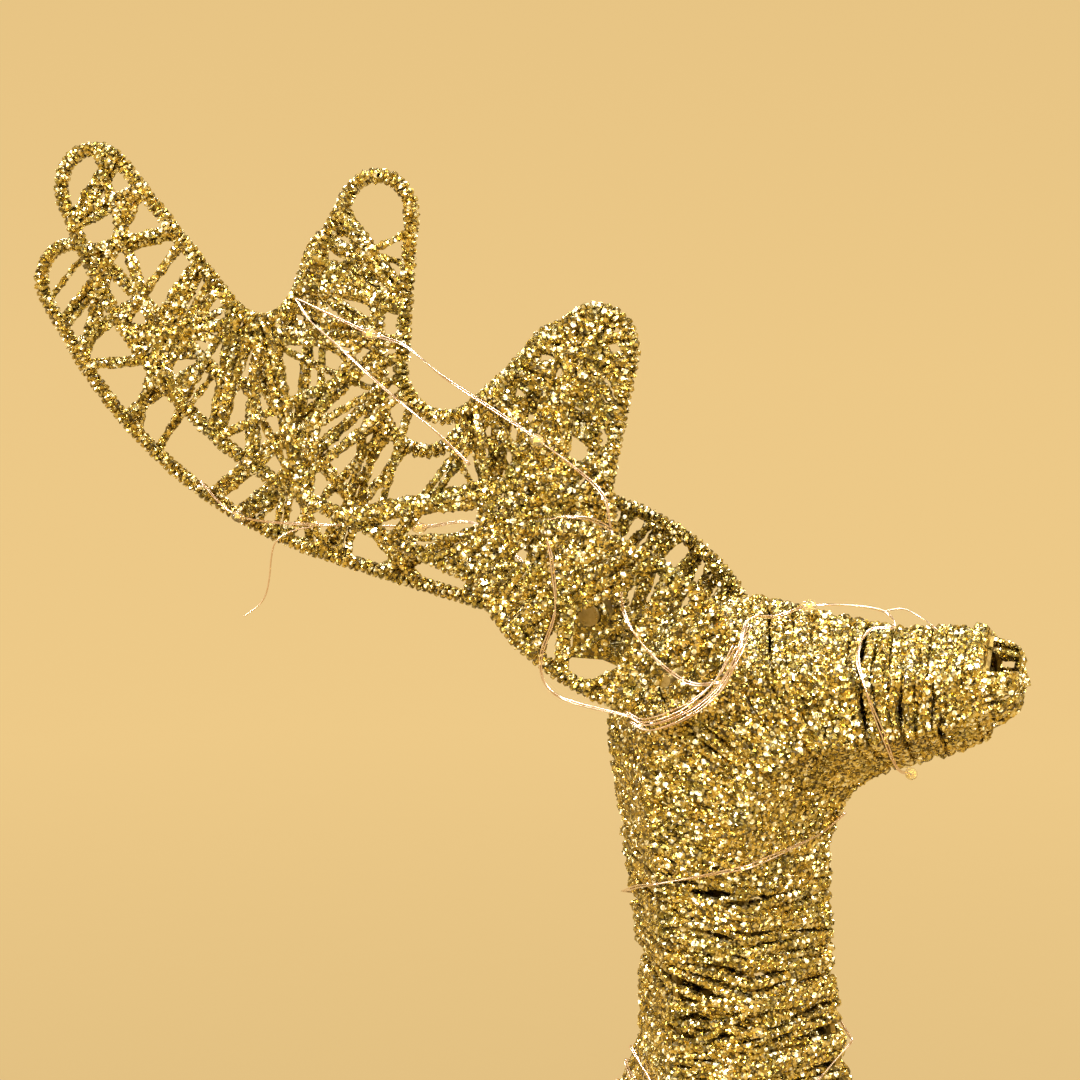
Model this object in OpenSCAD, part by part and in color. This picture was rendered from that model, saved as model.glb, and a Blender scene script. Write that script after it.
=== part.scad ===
// Standing light-up reindeer: welded wire frames wound with glitter thread, strung with micro lights.
// X runs from tail to snout, Y to the animal's left, Z up. The feet stand on Z = 0.

/* [Wire and thread] */
// Radius of the wires that run along the body, neck and head
rail_r = 1.2; // [1:0.1:1.4]
// Radius of the hoops welded across them
hoop_r = 1; // [0.8:0.1:1.2]
// Radius of the wound rim of an antler, ear or tail
rim_r = 1.75; // [1.5:0.05:1.9]
// Depth of the wound skin from its outer face to its inner face
skin_t = 2; // [1.8:0.1:2.2]
// Depth from the outer face of the skin to the middle of a rail
rail_depth = 3.7; // [3.6:0.1:4.2]
// Thickness of the thread web inside an antler, ear or tail
web_t = 3; // [2:0.5:3.5]

/* [Antlers] */
// Distance of each antler from the middle plane
antler_y = 10; // [10:0.5:12]
// Tilt of the left antler towards the back
left_tilt = 8; // [0:0.5:10]
// How much further back the left antler is fixed
left_back = 6; // [0:0.5:7]
// How much lower the left antler is fixed
left_drop = 5.5; // [0:0.5:6]
// Radius of the antler pivot pins
antler_pin_r = 1.5; // [1.5:0.5:2]

/* [Ears and tail] */
// Half length of an ear
ear_a = 32; // [28:1:34]
// Half width of an ear
ear_b = 17; // [14:1:19]
// Distance of the middle of an ear from the middle plane
ear_y = 30; // [30:0.5:33]
// Droop of an ear towards the snout
ear_droop = 26; // [20:1:32]
// Outward turn of the back of an ear
ear_flare = 5; // [3:1:8]
// How much further back the left ear is fixed
left_ear_back = 12; // [0:1:12]
// How much lower the left ear is fixed
left_ear_low = 3; // [0:0.5:4]
// Half length of the tail
tail_a = 24; // [22:1:26]

/* [Legs] */
// Height of the leg hinges
hip_z = 251; // [248:1:252]
// Front hinge position
front_hip_x = 100; // [95:1:105]
// Rear hinge position
rear_hip_x = -84; // [-88:1:-80]
// Distance of the front legs from the middle plane
front_leg_y = 16; // [15.5:0.5:16.5]
// Distance of the rear legs from the middle plane
rear_leg_y = 32; // [31.5:0.5:33]
// Half width of a leg
leg_w = 5.5; // [5:0.25:6]
// Radius of the leg hinge pins
leg_pin_r = 2; // [2:0.5:2.5]

/* [Battery case] */
// Outside length
case_l = 76; // [74:1:77]
// Outside width
case_w = 48; // [48:1:50]
// Outside height
case_h = 22; // [21:1:23]
// Wall thickness
case_t = 1.6; // [1.4:0.1:1.8]

/* [Lights] */
// Radius of a pair of light wires
wire_r = 0.4; // [0.3:0.05:0.5]
// Radius of the resin drop over a light
drop_r = 1.5; // [1.2:0.1:1.8]

/* [Hidden] */

gold = [0.78, 0.62, 0.24];
dark_gold = [0.5, 0.38, 0.14];
gap = 0.05;
pin_gap = 0.05;

// Levels of a wound form, each [underside point, upper point, half width, corner share]:
// both points are [x, z] on the outer face in the middle plane.
oval = 0.14;
hexed = 0.29;
body_levels = [
    [[-132, 322], [-130, 341], 9, oval],
    [[-126, 296], [-121, 354], 27, oval],
    [[-104, 272], [-100, 362], 37, oval],
    [[-68, 267], [-68, 363], 42, oval],
    [[-18, 270.5], [-18, 361], 42, oval],
    [[38, 270], [34, 361], 42, oval],
    [[88, 267], [66, 366], 41, oval],
    [[122, 277], [78, 376], 38, 0.18],
    [[142, 306], [85, 386], 33, 0.22],
    [[150, 340], [88, 393], 28.5, 0.25],
    [[149.5, 368], [89.5, 397], 25.5, 0.28],
    [[146, 392], [91, 401], 24, hexed]
];
neck_levels = [
    [[146, 392.2], [91, 401.2], 24, hexed],
    [[143.5, 408], [91.5, 411], 22.5, hexed],
    [[140.5, 424], [90.5, 427], 22, hexed],
    [[138.5, 456], [85, 465], 22.5, hexed]
];
head_levels = [
    [[138.5, 456.2], [85, 465.2], 22.5, hexed],
    [[140, 460], [83, 478], 23, hexed],
    [[141, 463], [84, 492], 23, hexed],
    [[142, 465.5], [91, 504.5], 22.5, hexed],
    [[143, 467.5], [104, 511], 22, hexed],
    [[144.5, 469.5], [120, 514.5], 21, hexed],
    [[148, 472.5], [137, 511.5], 18.5, hexed],
    [[157, 476], [152, 509.5], 15.5, hexed],
    [[167, 479.5], [164, 510.3], 13, hexed],
    [[176, 484.5], [174.5, 511.3], 11, hexed],
    [[180.3, 489.5], [179.8, 507.5], 8, hexed],
    [[182.5, 494.5], [182.3, 502.5], 4, 0.2]
];

// Outline of an antler as a belt round circles, each [x, z, radius]; a hollow bend has a negative radius
antler_base = [84, 510];
antler_circles = [
    [55, 637.5, 114.5],
    [antler_base[0], antler_base[1], 6],
    [100, 539, -14],
    [83.5, 572, 8.6],
    [45.5, 565, -11],
    [29, 602, 8.6],
    [-2, 585.5, -10],
    [-46, 606.5, 9.7]
];
hub_r = 4.2;
hub_half = 4;
ear_x = 93.5;
ear_z = 512;
tail_x = -158.5;
tail_z = 352;
tail_b = 9;
tail_rise = 22;

// Leg levels, from the hinge down to the foot; x is counted from the hinge
front_leg_levels = [
    [[7, hip_z + 7], [-7, hip_z + 7], leg_w, hexed],
    [[12.5, hip_z - 8], [-10.5, hip_z - 8], leg_w, hexed],
    [[12, 205], [-9, 205], leg_w, hexed],
    [[9, 150], [-6, 150], leg_w, hexed],
    [[10, 128], [-5, 128], leg_w, hexed],
    [[10, 60], [-1, 60], leg_w - 0.5, hexed],
    [[13, 30], [0, 30], leg_w, hexed],
    [[14, 10.2], [-1, 10.2], leg_w, hexed]
];
rear_leg_levels = [
    [[6.5, hip_z + 7], [-12, hip_z + 3], leg_w, hexed],
    [[10.5, hip_z - 8], [-26, hip_z - 10], leg_w, hexed],
    [[9, 205], [-26, 205], leg_w, hexed],
    [[-3, 155], [-22, 155], leg_w, hexed],
    [[-8, 132], [-24, 132], leg_w, hexed],
    [[-3, 60], [-15, 60], leg_w - 0.5, hexed],
    [[2, 30], [-12, 30], leg_w, hexed],
    [[3, 10.2], [-13, 10.2], leg_w, hexed]
];
leg_skin_t = 1.2;
leg_hub_r = 6;
function leg_cage_levels(front) = let (l = front ? front_leg_levels : rear_leg_levels) [for (i = [1:7]) l[i]];
foot_r = 7;
stake_hole_r = 2;

// Battery case, hung in a gap of the belly with its lid facing down
case_x = 10;
case_z = 269.5;
cell_r = 7.2;
cell_l = 50;
lid_l = 58;
lid_t = 1.5;

// Points along each light wire, chosen by hand; each lies just outside the thread
head_wire = [
    [99, -33, 491], [104, -33.5, 489.5], [113, -33.5, 493.5], [120, -33, 500], [124, -32, 508],
    [125, -27, 514], [129, -17, 513], [134, -8, 514], [143, -4, 514], [151, -4, 513], [154, -8, 510.5],
    [149, -11, 510], [147.5, -16, 505], [150.5, -19, 497], [154, -18, 488], [156.5, -13, 479],
    [158, -4, 475.5]
];
antler_right_wire = [
    [88, -12.6, 530], [85, -12.6, 539], [70, -12.6, 550], [54, -12.6, 559.5], [45.5, -12.6, 564.5],
    [36.5, -12.6, 571], [28, -12.6, 573.5], [18, -12.6, 577.5], [8.5, -12.6, 581.5]
];
antler_left_wire = [
    [62, 7.4, 514], [47.5, 7.4, 525.5], [32, 7.4, 524], [13, 7.4, 523.5], [4, 7.4, 523], [-17.5, 7.4, 524],
    [-28.5, 7.4, 532.5]
];
// The bare end that hangs from the left antler
loose_end = [
    [3, 7.4, 522.4], [-1, 7.3, 521.6], [-5, 7, 520], [-7.5, 6.8, 517.5], [-8.5, 6.7, 513.5], [-9, 6.6, 509],
    [-10, 6.4, 504.5], [-12, 6.2, 501.5], [-16, 6, 498.5]
];

function mix(a, b, t) = a * (1 - t) + b * t;
function unit(v) = v / norm(v);
function mean(pts, i = 0) = pts[i] / len(pts) + (i == len(pts) - 1 ? 0 * pts[i] : mean(pts, i + 1));
function at_y(p, y) = [p[0], y, p[1]];

// Eight corners of a level, anticlockwise seen against the run from tail to snout
function corners(level) =
    let (f = level[0], b = level[1], w = level[2], s = level[3], k = s > 0.28 ? 1 : 0.66 + s) [
        at_y(f, 0), at_y(mix(f, b, s), -w * k), at_y(mix(f, b, 0.5), -w), at_y(mix(f, b, 1 - s), -w * k),
        at_y(b, 0), at_y(mix(f, b, 1 - s), w * k), at_y(mix(f, b, 0.5), w), at_y(mix(f, b, s), w * k)
    ];
function inset(ring, d) = let (c = mean(ring)) [for (p = ring) c + (p - c) * max(1 - d / norm(p - c), 0.12)];
function rings(levels, d) = [for (l = levels) inset(corners(l), d)];
function reversed(list) = [for (i = [len(list) - 1:-1:0]) list[i]];

// Ring of points round each point of a path; side lies across the path everywhere
function along(path, i, closed) = let (n = len(path))
    unit(path[closed ? (i + 1) % n : min(i + 1, n - 1)] - path[closed ? (i + n - 1) % n : max(i - 1, 0)]);
function tube_rings(path, r, sides, side, closed) = [
    for (i = [0:len(path) - 1])
        let (t = along(path, i, closed),
            u = unit(cross(is_list(side[0]) ? side[i] : side, t)),
            v = cross(t, u))
            [for (k = [0:sides - 1]) path[i] + r * (cos(360 * k / sides) * u + sin(360 * k / sides) * v)]
];

// Belt round circles: the angle of the outward normal of the straight run from circle a to circle b
function run_angle(a, b) = let (d = [b[0] - a[0], b[1] - a[1]])
    atan2(d[1], d[0]) - acos((a[2] - b[2]) / norm(d));
function sweep_of(from, to, r) = let (d = ((to - from) % 360 + 360) % 360) r > 0 ? d : d - 360;
function arc(c, from, to) = let (sweep = sweep_of(from, to, c[2]),
    n = max(ceil(abs(sweep) / 26), ceil(abs(sweep * c[2]) * PI / 180 / 8)))
    [for (i = [0:n]) [c[0] + c[2] * cos(from + sweep * i / n), c[1] + c[2] * sin(from + sweep * i / n)]];
function belt(circles, grow) = let (n = len(circles), c = [for (q = circles) [q[0], q[1], q[2] + grow]])
    [for (i = [0:n - 1])
        each arc(c[i], run_angle(c[(i + n - 1) % n], c[i]), run_angle(c[i], c[(i + 1) % n]))];
function ellipse(a, b) = [for (i = [0:31]) [a * cos(i * 11.25), b * sin(i * 11.25)]];

// Solid through rings of points, closed end to end or capped
module skin(ring_list, closed = false) {
    n = len(ring_list);
    m = len(ring_list[0]);
    steps = closed ? n - 1 : n - 2;
    sides = [
        for (i = [0:steps], k = [0:m - 1])
            let (next = (i + 1) % n, far = (k + 1) % m,
                a = i * m + k, b = i * m + far, c = next * m + k, d = next * m + far)
                each [[a, c, d], [a, d, b]]
    ];
    caps = closed ? [] : [[for (k = [0:m - 1]) k], [for (k = [m - 1:-1:0]) (n - 1) * m + k]];
    polyhedron(points = [for (r = ring_list) each r], faces = [each sides, each caps], convexity = 8);
}

module tube(path, r, sides, side, closed = false) {
    skin(tube_rings(path, r, sides, side, closed), closed);
}

// Wound skin over a cage: open at both ends, or closed at its first or last level
module wound_tube(levels) {
    outer = rings(levels, 0);
    inner = rings(levels, skin_t);
    skin([each outer, each reversed(inner)], true);
}
module wound_cup_start(levels) {
    outer = rings(levels, 0);
    inner = [for (i = [1:len(levels) - 1]) rings(levels, skin_t)[i]];
    skin([each outer, each reversed(inner)]);
}
module wound_cup_end(levels) {
    last = len(levels) - 1;
    inner = [for (i = [0:last - 1]) rings(levels, skin_t)[i]];
    outer = rings(levels, 0);
    skin([each reversed(inner), each [for (i = [0:last]) outer[i]]]);
}

// Straight wire between two welds
module rod(a, b) {
    hull()
        for (p = [a, b])
            translate(p)
                sphere(r = hoop_r, $fn = 4);
}

// Cage of rails along the levels with a hoop at each listed level, welded where they cross
module cage(levels, hoops, rail_list, r = rail_r, depth = rail_depth) {
    ring_list = rings(levels, depth);
    n = len(rail_list);
    for (k = rail_list)
        tube([for (ring = ring_list) ring[k]], r, 5, [0, 1, 0]);
    for (h = hoops, k = [0:n - 1])
        rod(ring_list[h][rail_list[k]], ring_list[h][rail_list[(k + 1) % n]]);
}

module rim(outline, r = rim_r) {
    tube([for (p = outline) at_y(p, 0)], r, 6, [0, 1, 0], true);
}
module web(outline) {
    rotate([90, 0, 0])
        linear_extrude(web_t, center = true)
            polygon(outline);
}
module y_cylinder(p, r, y0, y1) {
    translate([p[0], y1, p[1]])
        rotate([90, 0, 0])
            cylinder(r = r, h = y1 - y0, $fn = 48);
}
// Body, neck and head
module hatch() {
    travel = 13;
    translate([case_x - case_l / 2 - travel, -case_w / 2 - 1, case_z - 4])
        cube([case_l + travel + 1, case_w + 2, case_h + 6]);
}
// The rails start a little in front of the winding's blunt rear end
body_cage_levels = [[[-121, 296], [-116, 354], 30, oval], for (i = [2:11]) body_levels[i]];
module body_frame() {
    color(dark_gold)
        difference() {
            cage(body_cage_levels, [0, 2, 4, 6, 8], [0, 1, 2, 3, 4, 5, 6, 7], depth = 4.4);
            hatch();
        }
}
module body_skin() {
    color(gold)
        difference() {
            wound_cup_start(body_levels);
            hatch();
        }
}
module neck_frame() {
    color(dark_gold)
        cage(neck_levels, [1, 2], [0, 1, 3, 4, 5, 7]);
}
module neck_skin() {
    color(gold) wound_tube(neck_levels);
}
module head_frame() {
    color(dark_gold)
        cage([for (i = [0:9]) head_levels[i]], [3, 6, 9], [0, 1, 3, 4, 5, 7]);
}
module head_skin() {
    color(gold) wound_cup_end(head_levels);
}

// Antlers
module placed_antler(right) {
    translate([antler_base[0] - (right ? 0 : left_back), right ? -antler_y : antler_y,
        antler_base[1] - (right ? 0 : left_drop)])
        rotate([0, right ? 0 : -left_tilt, 0])
            translate([-antler_base[0], 0, -antler_base[1]])
                children();
}
module antler_rim(right) {
    color(gold) placed_antler(right) rim(belt(antler_circles, 0));
}
module antler_web(right) {
    color(gold)
        placed_antler(right)
            difference() {
                web(belt(antler_circles, -rim_r - gap));
                y_cylinder(antler_base, hub_r + gap, -web_t, web_t);
            }
}
module antler_hub(right) {
    color("silver")
        placed_antler(right)
            difference() {
                y_cylinder(antler_base, hub_r, -hub_half, hub_half);
                y_cylinder(antler_base, antler_pin_r + pin_gap, -hub_half - 1, hub_half + 1);
            }
}
lug_t = 1.2;
lug_y = hub_half + 0.35;
module upright_antler_place(right) {
    translate([antler_base[0] - (right ? 0 : left_back), right ? -antler_y : antler_y,
        antler_base[1] - (right ? 0 : left_drop)])
        children();
}
module antler_bracket(right) {
    color("silver")
        upright_antler_place(right)
            difference() {
                union() {
                    translate([-5, -lug_y - lug_t, -9.8])
                        cube([10, 2 * (lug_y + lug_t), 1.6]);
                    for (y = [-lug_y - lug_t, lug_y])
                        hull() {
                            y_cylinder([0, 0], 4, y, y + lug_t);
                            translate([-4.5, y, -9])
                                cube([9, lug_t, 0.5]);
                        }
                    translate([1, 0, -9.9])
                        rotate([0, 109, 0])
                            cylinder(r = 1.2, h = 22, $fn = 32);
                }
                y_cylinder([0, 0], antler_pin_r + 0.02, -8, 8);
            }
}
module antler_pins() {
    color("silver")
        for (right = [true, false])
            upright_antler_place(right) {
                y_cylinder([0, 0], antler_pin_r, -6.2, 6.2);
                y_cylinder([0, 0], antler_pin_r + 1, right ? -7.2 : 6.2, right ? -6.2 : 7.2);
            }
}

// Ears and tail
module placed_ear(right) {
    mirror([0, right ? 0 : 1, 0])
        translate([ear_x - (right ? 0 : left_ear_back), -ear_y, ear_z - (right ? 0 : left_ear_low)])
            rotate([0, 0, ear_flare])
                rotate([0, ear_droop, 0])
                    children();
}
module ear_rim(right) {
    color(gold) placed_ear(right) rim(ellipse(ear_a, ear_b));
}
module ear_web(right) {
    color(gold) placed_ear(right) web(ellipse(ear_a - rim_r - 0.1, ear_b - rim_r - 0.1));
}
ear_clip_x = 12.5;
ear_clip_drop = 13;
ear_clip_r = 1.6;
module ear_clip(right) {
    color("silver")
        mirror([0, right ? 0 : 1, 0])
            y_cylinder(
                [ear_x + ear_clip_x - (right ? 0 : left_ear_back), ear_z - ear_clip_drop],
                ear_clip_r, -ear_y + 0.5, right ? -18 : -12
            );
}
module placed_tail() {
    translate([tail_x, 0, tail_z])
        rotate([0, tail_rise, 0])
            children();
}
module tail_rim() {
    color(gold) placed_tail() rim(ellipse(tail_a, tail_b));
}
module tail_web() {
    color(gold) placed_tail() web(ellipse(tail_a - rim_r - 0.1, tail_b - rim_r - 0.1));
}
module tail_clip() {
    color("silver")
        translate([-139, 0, 344])
            rotate([0, 70, 0])
                cylinder(r = 1.6, h = 17, $fn = 32);
}

// Legs
module placed_leg(front, right) {
    translate([front ? front_hip_x : rear_hip_x, (right ? -1 : 1) * (front ? front_leg_y : rear_leg_y), 0])
        children();
}
hub_w = leg_w - leg_skin_t - 0.2;
module leg_hub(front, right) {
    color("silver")
        placed_leg(front, right)
            difference() {
                union() {
                    y_cylinder([0, hip_z], leg_hub_r, -hub_w, hub_w);
                    for (x = [-4, 4])
                        translate([x, 0, hip_z - 24])
                            cylinder(r = 1.4, h = 20, $fn = 32);
                }
                y_cylinder([0, hip_z], leg_pin_r + pin_gap, -leg_w - 1, leg_w + 1);
            }
}
module leg_frame(front, right) {
    color(dark_gold)
        placed_leg(front, right)
            cage(leg_cage_levels(front), [0, 1, 3, 5], [0, 4], 0.9, 3.3);
}
module leg_skin(front, right) {
    levels = front ? front_leg_levels : rear_leg_levels;
    color(gold)
        placed_leg(front, right)
            difference() {
                skin([each rings(levels, 0), each reversed(rings(levels, leg_skin_t))], true);
                y_cylinder([0, hip_z], leg_pin_r + 0.6, -leg_w - 1, leg_w + 1);
            }
}
foot_x = [-5, 6.5];
module leg_foot(front, right) {
    color([0.25, 0.2, 0.12])
        placed_leg(front, right)
            translate([front ? foot_x[1] : foot_x[0], 0, 0])
                difference() {
                    union() {
                        cylinder(r = foot_r, h = 3, $fn = 48);
                        cylinder(r = foot_r - 2, h = 9.9, $fn = 48);
                    }
                    translate([0, 0, -1])
                        cylinder(r = stake_hole_r, h = 12, $fn = 32);
                }
}
module leg_bracket(front) {
    x = front ? front_hip_x : rear_hip_x;
    y = front ? front_leg_y : rear_leg_y;
    plate_z = hip_z + 12;
    inner = leg_w + 0.5;
    t = 1.5;
    color("silver")
        difference() {
            union() {
                translate([x - 12, -y - inner - t, plate_z])
                    cube([24, 2 * (y + inner + t), 2]);
                for (side = [-1, 1], lug = [-inner - t, inner])
                    hull() {
                        y_cylinder([x, hip_z], 6, side * y + lug, side * y + lug + t);
                        translate([x - 8, side * y + lug, plate_z + 0.5])
                            cube([16, t, 1]);
                    }
                for (dx = [-7, 7])
                    translate([x + dx, 0, plate_z + 1])
                        cylinder(r = 2, h = front ? 16 : 14, $fn = 32);
            }
            for (side = [-1, 1])
                y_cylinder([x, hip_z], leg_pin_r + 0.02, side * y - 9, side * y + 9);
        }
}
module leg_pins() {
    reach = leg_w + 2.3;
    head_t = 0.9;
    color("silver")
        for (front = [true, false], side = [-1, 1])
            placed_leg(front, side < 0) {
                y_cylinder([0, hip_z], leg_pin_r, -reach, reach);
                translate([0, side > 0 ? 0 : -2 * reach - head_t, 0])
                    y_cylinder([0, hip_z], leg_pin_r + 1.4, reach, reach + head_t);
            }
}

// Battery case and what it holds
module case_box(l, w, h, z) {
    translate([case_x - l / 2, -w / 2, z])
        cube([l, w, h]);
}
cells_x = case_x - case_l / 2 + case_t + 2.6;
switch_x = case_x + case_l / 2 - 9;
module battery_case() {
    color([0.2, 0.2, 0.2])
        difference() {
            case_box(case_l, case_w, case_h, case_z);
            translate([cells_x - 2.4, -case_w / 2 + case_t, case_z - 1])
                cube([cell_l + 6, case_w - 2 * case_t, case_h - case_t + 1]);
            translate([switch_x - 4, -case_w / 2 + case_t, case_z + 2])
                cube([11, case_w - 2 * case_t, case_h - case_t - 2]);
            translate([switch_x - 0.7, -5, case_z - 1])
                cube([4.4, 10, 4]);
        }
}
module battery_lid() {
    color([0.25, 0.25, 0.25])
        translate([cells_x - 4.4, -case_w / 2 + 0.5, case_z - lid_t - 0.15])
            union() {
                cube([lid_l, case_w - 1, lid_t]);
                for (i = [0:4])
                    translate([4 + 2 * i, 15, -0.6])
                        cube([1, 17, 0.8]);
            }
}
module battery_cells() {
    color([0.3, 0.5, 0.35])
        for (i = [-1, 0, 1])
            translate([cells_x + 0.4, i * (2 * cell_r + 0.3), case_z + cell_r + 0.8]) {
                rotate([0, 90, 0]) cylinder(r = cell_r, h = cell_l - 2, $fn = 48);
                translate([(i == 0) ? cell_l - 2.2 : -1, 0, 0])
                    rotate([0, 90, 0]) cylinder(r = 2.7, h = 1.2, $fn = 32);
            }
}
module cell_springs() {
    color("silver")
        for (i = [-1, 0, 1], turn = [0, 1])
            translate([
                i == 0 ? cells_x - 0.9 + 0.6 * turn : cells_x + cell_l - 1 + 0.7 * turn,
                i * (2 * cell_r + 0.3),
                case_z + cell_r + 0.8
            ])
                rotate([0, 90, 0])
                    rotate_extrude($fn = 32)
                        translate([3 + turn, 0])
                            circle(r = 0.25, $fn = 16);
}
module cell_contacts() {
    color("silver")
        for (i = [-1, 0, 1], end = [0, 1])
            translate([
                end == 0 ? cells_x - 2.2 : cells_x + cell_l + 2.6,
                i * (2 * cell_r + 0.3) - 5,
                case_z + 3
            ])
                cube([0.4, 10, 10]);
}
module control_board() {
    color([0.1, 0.4, 0.2])
        translate([switch_x - 3, -18, case_z + 8]) {
            cube([8, 36, 1.2]);
            translate([1.5, 8, 1.2]) cube([5, 6, 1.5]);
            translate([1.5, 24, 1.2]) cube([4, 4, 3]);
        }
}
module switch_slider() {
    color([0.85, 0.85, 0.85])
        translate([switch_x - 0.5, -4.4, case_z - 0.8]) {
            cube([4, 4, 2.9]);
            translate([-1.5, -0.3, 2.9]) cube([7, 4.6, 1.2]);
        }
}
module case_straps() {
    color([0.15, 0.15, 0.15])
        for (x = [case_x - 30, case_x + 30])
            difference() {
                translate([x - 1.5, -case_w / 2 - 0.9, case_z + 3])
                    cube([3, case_w + 1.8, case_h - 2.2]);
                translate([x - 3, -case_w / 2 - 0.05, case_z])
                    cube([6, case_w + 0.1, case_h + 0.05]);
            }
}

// Light wire wound on the levels: each point is [place, direction of the winding's axis].
// It goes round once for each level, rising towards the chest on the animal's right.
all_levels = [each body_levels, each [for (i = [1:3]) neck_levels[i]]];
function wound(first, from, to, proud = 0.9) = [
    for (i = [from:to])
        let (l = first + floor(i / 8), t = i / 8 - floor(i / 8), k = (8 - i % 8) % 8,
            a = inset(corners(all_levels[l]), -proud), b = inset(corners(all_levels[l + 1]), -proud))
            [mix(a[k], b[k], t), unit(mean(b) - mean(a))]
];
spine = [1, 0, 0];
neck_turns = [
    [139.4, -10, 401.5],
    [144.9, 0, 407.8],
    [127.8, 23.3, 416],
    [115.5, 23.3, 424],
    [104, 23.3, 431.5],
    [87.2, 0, 438.5],
    [94.6, -11.5, 444],
    [101.6, -23.3, 448.7],
    [112, -23.9, 451.7],
    [125, -23.9, 455.6],
    [133, -14, 458.3],
    [138, -6, 460],
    [141.9, 0.5, 463.4]
];
body_wire = [
    each wound(0, 4, 28),
    [[-20, 0, 362.4], spine],
    [[20, 0, 362.3], spine],
    [[50, 0, 364.8], spine],
    each wound(6, 4, 39),
    for (p = neck_turns) [p, [0.1, 0, 1]]
];
module wire(path, side) {
    color([0.8, 0.5, 0.3]) tube(path, wire_r, 6, side);
}
module wire_body() {
    wire([for (p = body_wire) p[0]], [for (p = body_wire) p[1][0] == 1 ? [0, 1, 0] : p[1]]);
}
module lights(points) {
    color([1, 0.9, 0.6])
        for (p = points)
            translate(p)
                sphere(r = drop_r, $fn = 24);
}
light_step = 6;
// A drop stands a little proud of its wire, clear of the thread
drop_lift = [0, 0.75, 0];
antler_right_drops = [for (i = [6, 2]) antler_right_wire[i] - drop_lift];
antler_left_drops = [for (i = [2, 5]) antler_left_wire[i] - drop_lift];
drop_proud = 2;
drop_lines = [each wound(0, 4, 28, drop_proud), each wound(6, 4, 36, drop_proud)];
body_lights = [for (i = [4:light_step:len(drop_lines) - 2]) drop_lines[i][0]];

body_frame();
body_skin();
neck_frame();
neck_skin();
head_frame();
head_skin();
antler_bracket(true);  // antler_right_bracket
antler_bracket(false);  // antler_left_bracket
antler_pins();
antler_hub(true);  // antler_right_hub
antler_rim(true);  // antler_right_rim
antler_web(true);  // antler_right_web
antler_hub(false);  // antler_left_hub
antler_rim(false);  // antler_left_rim
antler_web(false);  // antler_left_web
ear_rim(true);  // ear_right_rim
ear_web(true);  // ear_right_web
ear_clip(true);  // ear_right_clip
ear_rim(false);  // ear_left_rim
ear_web(false);  // ear_left_web
ear_clip(false);  // ear_left_clip
tail_rim();
tail_web();
tail_clip();
leg_bracket(true);  // front_leg_bracket
leg_bracket(false);  // rear_leg_bracket
leg_pins();
leg_hub(true, true);  // leg_front_right_hub
leg_frame(true, true);  // leg_front_right_frame
leg_skin(true, true);  // leg_front_right_skin
leg_foot(true, true);  // leg_front_right_foot
leg_hub(true, false);  // leg_front_left_hub
leg_frame(true, false);  // leg_front_left_frame
leg_skin(true, false);  // leg_front_left_skin
leg_foot(true, false);  // leg_front_left_foot
leg_hub(false, true);  // leg_rear_right_hub
leg_frame(false, true);  // leg_rear_right_frame
leg_skin(false, true);  // leg_rear_right_skin
leg_foot(false, true);  // leg_rear_right_foot
leg_hub(false, false);  // leg_rear_left_hub
leg_frame(false, false);  // leg_rear_left_frame
leg_skin(false, false);  // leg_rear_left_skin
leg_foot(false, false);  // leg_rear_left_foot
battery_case();
battery_lid();
battery_cells();
cell_springs();
cell_contacts();
control_board();
switch_slider();
case_straps();
wire(head_wire, [0.3, 0.2, 1]);  // wire_head
wire(antler_right_wire, [0, 1, 0]);  // wire_antler_right
wire(antler_left_wire, [0, 1, 0]);  // wire_antler_left
wire(loose_end, [0, 1, 0]);  // wire_loose_end
wire_body();
lights([head_wire[16], head_wire[7]]);  // lights_head
lights(antler_right_drops);  // lights_antler_right
lights(antler_left_drops);  // lights_antler_left
lights(body_lights);  // lights_body
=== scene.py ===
"""Standing light-up reindeer: glitter thread wound on wire frames, copper micro lights, plain studio."""

import math

import bmesh
import bpy
import numpy as np
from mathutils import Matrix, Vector


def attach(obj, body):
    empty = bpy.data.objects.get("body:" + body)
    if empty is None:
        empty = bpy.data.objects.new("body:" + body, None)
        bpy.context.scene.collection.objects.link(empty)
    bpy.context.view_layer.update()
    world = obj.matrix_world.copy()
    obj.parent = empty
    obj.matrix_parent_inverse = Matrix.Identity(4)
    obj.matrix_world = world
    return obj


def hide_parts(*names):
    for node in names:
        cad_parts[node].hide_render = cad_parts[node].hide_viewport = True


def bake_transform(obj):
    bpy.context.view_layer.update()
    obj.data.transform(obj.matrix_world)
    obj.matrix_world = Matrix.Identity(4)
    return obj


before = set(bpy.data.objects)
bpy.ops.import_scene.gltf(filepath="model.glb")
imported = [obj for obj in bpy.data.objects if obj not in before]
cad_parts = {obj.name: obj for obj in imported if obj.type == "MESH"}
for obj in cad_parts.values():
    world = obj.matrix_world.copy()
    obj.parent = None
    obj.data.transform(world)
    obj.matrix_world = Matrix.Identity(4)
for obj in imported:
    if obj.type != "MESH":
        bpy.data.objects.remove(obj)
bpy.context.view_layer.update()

MM = 0.001
UP = np.array([0.0, 0.0, 1.0])
ACROSS = np.array([0.0, 1.0, 0.0])
rng = np.random.default_rng(411)


# ---------------------------------------------------------------- camera and studio

def aim(thing, target, azimuth, elevation, distance):
    """Sets a camera or lamp at two angles, in degrees, and a distance from its target, facing it."""
    a, e = math.radians(azimuth), math.radians(elevation)
    away = Vector((math.sin(a) * math.cos(e), -math.cos(a) * math.cos(e), math.sin(e)))
    thing.location = Vector(target) + away * distance
    thing.rotation_euler = (-away).to_track_quat("-Z", "Y").to_euler()


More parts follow.
